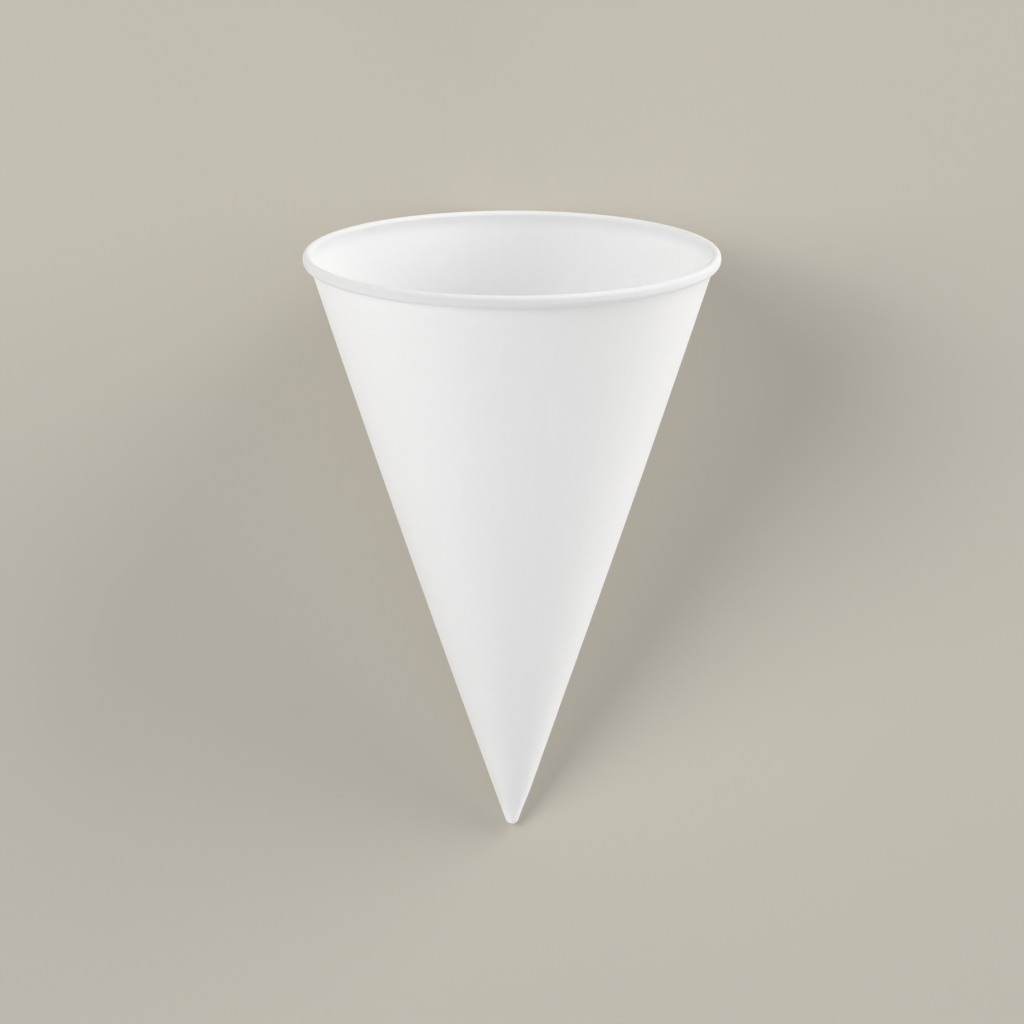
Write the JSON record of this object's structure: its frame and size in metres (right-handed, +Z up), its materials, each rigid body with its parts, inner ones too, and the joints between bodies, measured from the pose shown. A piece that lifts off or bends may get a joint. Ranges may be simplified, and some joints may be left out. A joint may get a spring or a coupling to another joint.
{
  "type": "cone paper cup",
  "caption": "White paper drinking cup wound into a cone from one sheet, with a rolled rim, a glued lap and a blunt closed tip.",
  "frame": {"origin": "the floor, under the middle of the lying cup's box", "axes": "+Y along the floor from the tip to the mouth, +Z up, with the pictured front of the cup up; the cup's own axis rises 19 degrees from +Y because the cup lies on its rim and its wall"},
  "size_m": [0.07, 0.106, 0.0662],
  "materials": {
    "white_paper": "matt, uncoated"
  },
  "bodies": {
    "root": {"paper_cup": "white_paper"}
  },
  "joints": []
}
